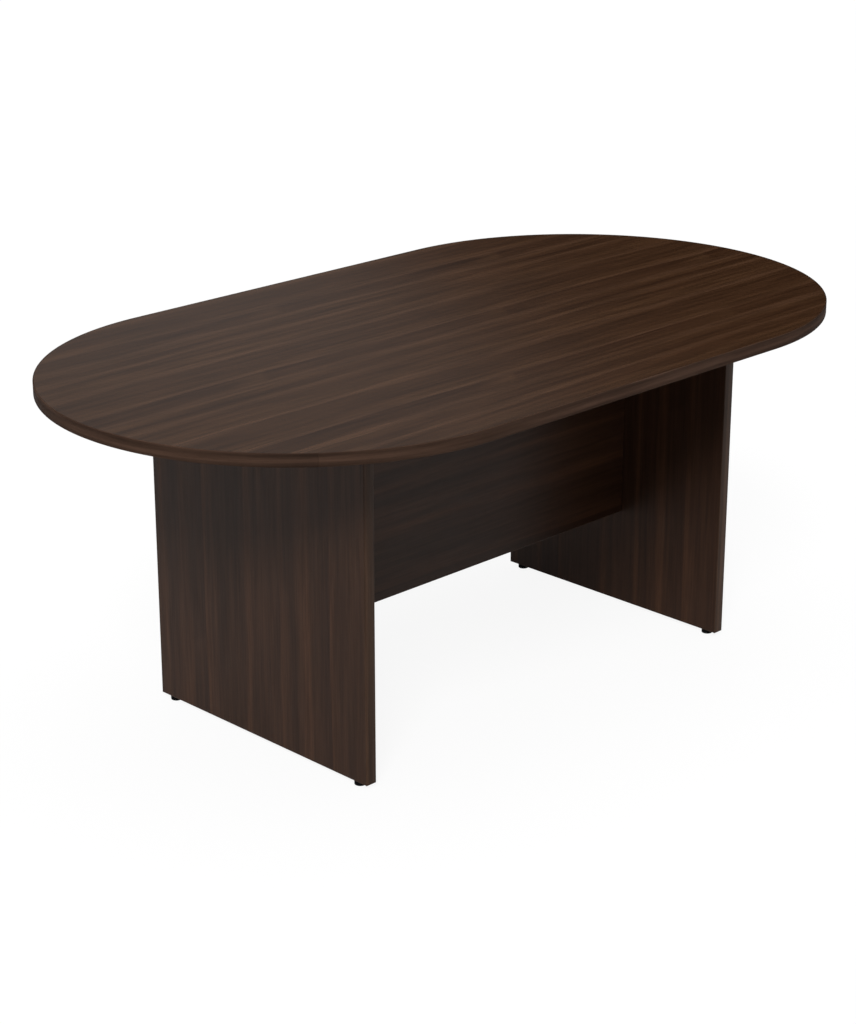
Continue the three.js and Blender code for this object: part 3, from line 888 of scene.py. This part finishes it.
def neck_slot():
    """Where the bolt's neck runs while the cam turns."""
    half = NECK_RADIUS + BALL_CLEARANCE
    reach = CAM_RADIUS + CUT_STAND
    outline = arc(lambda _: reach, -CAM_OPEN, 0, ROUND_STEPS // 2)
    return plate([*outline, (reach, half), (0, half), (0, 0)], -half, half)


def ball_entry():
    """The mouth that lets the ball head in when the cam is open."""
    mouth = Vector((math.cos(CAM_OPEN), -math.sin(CAM_OPEN), 0))
    reach = CAM_RADIUS + CUT_STAND
    return rod(mouth * reach, -mouth, BALL_RADIUS + ENTRY_CLEARANCE, reach)


def cross_recess(face):
    """A screwdriver's cross, narrower towards its floor."""
    long, half = RECESS_LENGTH / 2, RECESS_WIDTH / 2
    quarter = [(long, -half), (long, half), (half, half)]
    turns = [Matrix.Rotation(math.pi / 2 * i, 2) for i in range(4)]
    outline = [turn @ Vector(corner) for turn in turns for corner in quarter]
    floor = face - RECESS_DEPTH
    recess = plate(outline, floor, face + CUT_STAND)
    pick(recess, "VERT", lambda corner: abs(corner.co.z - floor) < NEAR)
    bpy.ops.transform.resize(value=(RECESS_TAPER, RECESS_TAPER, 1), center_override=(0, 0, floor))
    return close_up(recess)


def arrow_mark(face):
    """A shallow arrow that points at the bolt."""
    tip = ARROW_PLACE + ARROW_RADIUS
    heel = ARROW_PLACE - ARROW_RADIUS / 2
    outline = [(tip, 0), (heel, ARROW_RADIUS), (heel, -ARROW_RADIUS)]
    return plate(outline, face - ARROW_DEPTH, face + CUT_STAND)


def cam_disc(face):
    """Cam disc about +Z: the bolt's axis crosses it at the origin and leaves along +X."""
    disc = rod(-Z * CAM_BELOW, Z, CAM_RADIUS, CAM_BELOW + face)
    for height in (-CAM_BELOW, face):
        round_over(disc, rim_at(height), CAM_RIM, segments=2)
    cutters = (spiral_pocket(), neck_slot(), ball_entry(), cross_recess(face), arrow_mark(face))
    for cutter in cutters:
        cut_away(disc, cutter)
    return give(smooth(disc), cast_zinc)


def cam_bolt():
    """Connecting bolt along +Z from the cam's axis: ball, neck, shank, collar and thread."""
    ball_end = math.acos(NECK_RADIUS / BALL_RADIUS)
    ball = [
        (BALL_RADIUS * math.cos(a), BALL_OFFSET + BALL_RADIUS * math.sin(a))
        for a in (
            -math.pi / 2 + (ball_end + math.pi / 2) * i / BALL_STEPS
            for i in range(1, BALL_STEPS + 1)
        )
    ]
    shaft = turned([
        (0, BALL_OFFSET - BALL_RADIUS),
        *ball,
        (NECK_RADIUS, SHANK_START),
        (SHANK_RADIUS - CAM_RIM, SHANK_START),
        (SHANK_RADIUS, SHANK_START + CAM_RIM),
        (SHANK_RADIUS, COLLAR_END - COLLAR_LENGTH),
        (COLLAR_RADIUS, COLLAR_END - COLLAR_LENGTH),
        (COLLAR_RADIUS, COLLAR_END),
        (0, COLLAR_END),
    ])
    thread_end = CAM_SETBACK + BOLT_THREAD_LENGTH
    thread = threaded_rod(
        BOLT_THREAD_RADIUS, BOLT_PITCH, COLLAR_END - BOLT_PITCH, thread_end, BOLT_THREAD_RADIUS / 2
    )
    return give(smooth(join([shaft, thread])), plated_steel)


def fluted_dowel(length):
    """A dowel about +Z, chamfered at both ends, with glue flutes along it."""
    half = length / 2
    dowel = rod(-Z * half, Z, DOWEL_RADIUS, length)
    for height in (-half, half):
        round_over(dowel, rim_at(height), DOWEL_CHAMFER, segments=1)

    def in_flute(corner):
        step = math.tau / DOWEL_FLUTES
        angle = math.atan2(corner.co.y, corner.co.x) % step
        on_side = abs(corner.co.z) < half - DOWEL_CHAMFER / 2
        return min(angle, step - angle) < FLUTE_REACH and on_side

    pick(dowel, "VERT", in_flute)
    depth = 1 - DOWEL_FLUTE / DOWEL_RADIUS
    bpy.ops.transform.resize(value=(depth, depth, 1), center_override=(0, 0, 0))
    return give(smooth(close_up(dowel)), beech_wood)


def build_fittings():
    face_of = {}
    for name in FITTINGS:
        board = "cross_panel" if "cross" in name else "left_end_panel"
        low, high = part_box(board)
        face_of[name] = min(high.x - low.x, high.y - low.y) / 2 - CAM_CLEARANCE
    cams = {face: cam_disc(face) for face in set(face_of.values())}
    bolt = cam_bolt()
    low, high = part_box(f"{FITTINGS[0]}_dowel")
    dowel = fluted_dowel(max(high - low))
    for name in FITTINGS:
        axis, out, along = fitting_place(name)
        cam = copy_to(cams[face_of[name]], basis(axis, along, out.cross(along), out))
        set_in(cam, f"{name}_cam", f"{name}_cam")
        lengthwise = (out, along.cross(out), along)
        set_in(copy_to(bolt, basis(axis, *lengthwise)), f"{name}_bolt", "table")
        low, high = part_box(f"{name}_dowel")
        place = basis((low + high) / 2, *lengthwise)
        set_in(copy_to(dowel, place), f"{name}_dowel", "table")
    for master in (*cams.values(), bolt, dowel):
        clear_away(master)


# Screw feet


def foot_pad(height, head_low, head_high):
    """Round pad with finger flutes, moulded round the stem's head."""
    pad = rod(Vector((0, 0, 0)), Z, PAD_RADIUS, height, PAD_STEPS)
    for rim in (0, height):
        round_over(pad, rim_at(rim), PAD_ROUND, segments=3)
    flutes = []
    for i in range(PAD_FLUTES):
        angle = math.tau * (i + 0.5) / PAD_FLUTES
        beside = Vector((math.cos(angle), math.sin(angle), 0)) * PAD_FLUTE_PLACE
        foot = beside - Z * CUT_STAND
        flutes.append(rod(foot, Z, PAD_FLUTE_RADIUS, height + 2 * CUT_STAND, PAD_FLUTE_STEPS))
    cut_away(pad, join(flutes))
    head, stem = STEM_HEAD_RADIUS + STEM_CLEARANCE, STEM_RADIUS + STEM_CLEARANCE
    low, high = head_low - STEM_CLEARANCE, head_high + STEM_CLEARANCE
    pocket = turned([
        (0, low), (head, low), (head, high), (stem, high),
        (stem, height + CUT_STAND), (0, height + CUT_STAND),
    ])
    return give(smooth(cut_away(pad, pocket)), black_plastic)


def foot_stem(head_low, head_high, tip):
    """Threaded stem with a round head."""
    head = turned([
        (0, head_low), (STEM_HEAD_RADIUS, head_low), (STEM_HEAD_RADIUS, head_high), (0, head_high),
    ])
    thread = threaded_rod(STEM_RADIUS, STEM_PITCH, head_high - STEM_PITCH, tip, STEM_CHAMFER)
    return give(smooth(join([head, thread])), plated_steel)


def foot_sleeve(length):
    """Barbed sleeve, standing along +Z with its mouth at the origin."""
    bore, root = STEM_RADIUS + STEM_CLEARANCE, SLEEVE_RADIUS - SLEEVE_BARB
    barb = length / (SLEEVE_BARBS + 1)
    barbs = [
        (radius, i * barb) for i in range(1, SLEEVE_BARBS + 1) for radius in (root, SLEEVE_RADIUS)
    ]
    sleeve = turned([
        (bore, 0), (SLEEVE_RADIUS, 0), *barbs, (root, length), (bore, length), (bore, 0),
    ])
    return give(smooth(sleeve), cast_zinc)


def build_feet():
    _, pad_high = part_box("left_front_foot_pad")
    stem_low, stem_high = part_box("left_front_foot_stem")
    sleeve_low, sleeve_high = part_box("left_front_foot_sleeve")
    head_high = stem_low.z + STEM_HEAD_THICK
    pad = foot_pad(pad_high.z, stem_low.z, head_high)
    stem = foot_stem(stem_low.z, head_high, stem_high.z)
    sleeve = foot_sleeve(sleeve_high.z - sleeve_low.z)
    for side in ("left", "right"):
        for end in ("front", "rear"):
            name = f"{side}_{end}_foot"
            low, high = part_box(f"{name}_pad")
            spot = Vector(((low.x + high.x) / 2, (low.y + high.y) / 2, 0))
            standing = Matrix.Translation(spot)
            raised = Matrix.Translation(spot + Z * sleeve_low.z)
            set_in(copy_to(pad, standing), f"{name}_pad", f"{name}_pad")
            set_in(copy_to(stem, standing), f"{name}_stem", f"{name}_stem")
            set_in(copy_to(sleeve, raised), f"{name}_sleeve", "table")
    for master in (pad, stem, sleeve):
        clear_away(master)


build_top()
for side in ("left", "right"):
    build_end_panel(side)
build_cross_panel()
build_fittings()
build_feet()


# Floor, light and camera


def white_to_the_eye(owner):
    """A share that is 1 where the camera, a reflection or a clear piece looks."""
    path = add_node(owner, "ShaderNodeLightPath").outputs
    seen = path["Is Camera Ray"]
    for ray in ("Is Glossy Ray", "Is Transmission Ray"):
        seen = sum_of(owner, "MAXIMUM", seen, path[ray])
    return seen


def stage_material(name):
    """An empty material for the stage, and what it shows."""
    material = bpy.data.materials.new(name)
    material.use_nodes = True
    nodes = material.node_tree.nodes
    nodes.remove(nodes["Principled BSDF"])
    return material, nodes["Material Output"].inputs["Surface"]


def lay_floor():
    """Pale paper that looks white and keeps a soft part of the table's shadow."""
    clear_selection()
    bpy.ops.mesh.primitive_plane_add(size=FLOOR_SIZE)
    floor = bpy.context.object
    floor.name = "floor"
    paper, surface = stage_material("floor_paper")
    seen = white_to_the_eye(paper)
    look = spread(paper, seen, 0, 1, FLOOR_SHADE, FLOOR_LOOK)
    shaded = add_node(paper, "ShaderNodeBsdfDiffuse", Color=look).outputs["BSDF"]
    white = add_node(paper, "ShaderNodeEmission", Strength=1.0).outputs["Emission"]
    camera_ray = add_node(paper, "ShaderNodeLightPath").outputs["Is Camera Ray"]
    whiteness = spread(paper, camera_ray, 0, 1, FLOOR_SHINE_SHARE, FLOOR_WHITE_SHARE)
    share = sum_of(paper, "MULTIPLY", seen, whiteness)
    face = mixed_shaders(paper, share, shaded, white)
    from_below = add_node(paper, "ShaderNodeNewGeometry").outputs["Backfacing"]
    clear = add_node(paper, "ShaderNodeBsdfTransparent").outputs["BSDF"]
    feed(paper, surface, mixed_shaders(paper, from_below, face, clear))
    give(floor, paper)


def light_studio():
    """A soft overhead light and a soft key light from the front left, in a white room."""
    world = bpy.data.worlds.new("studio")
    bpy.context.scene.world = world
    world.use_nodes = True
    direction = add_node(world, "ShaderNodeTexCoord").outputs["Generated"]
    height = add_node(world, "ShaderNodeSeparateXYZ", Vector=direction).outputs["Z"]
    focus = sum_of(world, "POWER", spread(world, height, 0, 1, 0, 1), ZENITH_FOCUS)
    glow = spread(world, focus, 0, 1, 0, ZENITH_LIGHT)
    strength = add_node(world, "ShaderNodeMix", Factor=white_to_the_eye(world), A=glow, B=1.0)
    studio = world.node_tree.nodes["Background"]
    set_sockets(world, studio, Color=(1, 1, 1, 1), Strength=strength.outputs["Result"])

    towards_key = Vector((
        math.cos(KEY_AZIMUTH) * math.cos(KEY_ELEVATION),
        math.sin(KEY_AZIMUTH) * math.cos(KEY_ELEVATION),
        math.sin(KEY_ELEVATION),
    ))
    clear_selection()
    bpy.ops.object.light_add(type="SUN", rotation=towards_key.to_track_quat("Z", "Y").to_euler())
    key = bpy.context.object.data
    key.energy = KEY_LIGHT
    key.angle = KEY_SOFTNESS


def hang_shine_card():
    """A grey card round the room, darker behind the right end, that only the gloss sees."""
    clear_selection()
    bpy.ops.mesh.primitive_cylinder_add(
        vertices=CARD_STEPS, radius=CARD_RADIUS, depth=CARD_HEIGHT, end_fill_type="NGON",
        location=(0, 0, CARD_HEIGHT / 2 - CARD_SINK),
    )
    card = bpy.context.object
    card.name = "shine_card"
    grey, surface = stage_material("grey_card")
    round_the_room = add_node(
        grey, "ShaderNodeTexGradient", {"gradient_type": "RADIAL"}, Vector=own_place(grey)
    )
    height = own_axis(grey, "z")
    leaning = sum_of(grey, "MULTIPLY_ADD", height, CARD_LEAN, round_the_room.outputs["Fac"])
    tone = ramp(grey, leaning, CARD_TONES)
    lit_end, dark_start = (CARD_HEIGHT * share for share in CARD_FADE)
    under_lid = spread(grey, height, lit_end, dark_start, 1, 0)
    glow = add_node(grey, "ShaderNodeEmission", Color=tone, Strength=under_lid)
    feed(grey, surface, glow.outputs["Emission"])
    give(card, grey)
    card.visible_camera = card.visible_diffuse = card.visible_shadow = False
    card.visible_transmission = card.visible_volume_scatter = False


def set_camera():
    """The photograph's viewpoint."""
    towards_camera = Vector((
        math.sin(CAMERA_AZIMUTH) * math.cos(CAMERA_ELEVATION),
        -math.cos(CAMERA_AZIMUTH) * math.cos(CAMERA_ELEVATION),
        math.sin(CAMERA_ELEVATION),
    ))
    clear_selection()
    bpy.ops.object.camera_add(
        location=CAMERA_TARGET + towards_camera * CAMERA_DISTANCE,
        rotation=towards_camera.to_track_quat("Z", "Y").to_euler(),
    )
    camera = bpy.context.object
    camera.data.lens = CAMERA_LENS
    camera.data.sensor_width = CAMERA_SENSOR
    bpy.context.scene.camera = camera
    bpy.context.scene.view_settings.view_transform = "Standard"


lay_floor()
light_studio()
hang_shine_card()
set_camera()
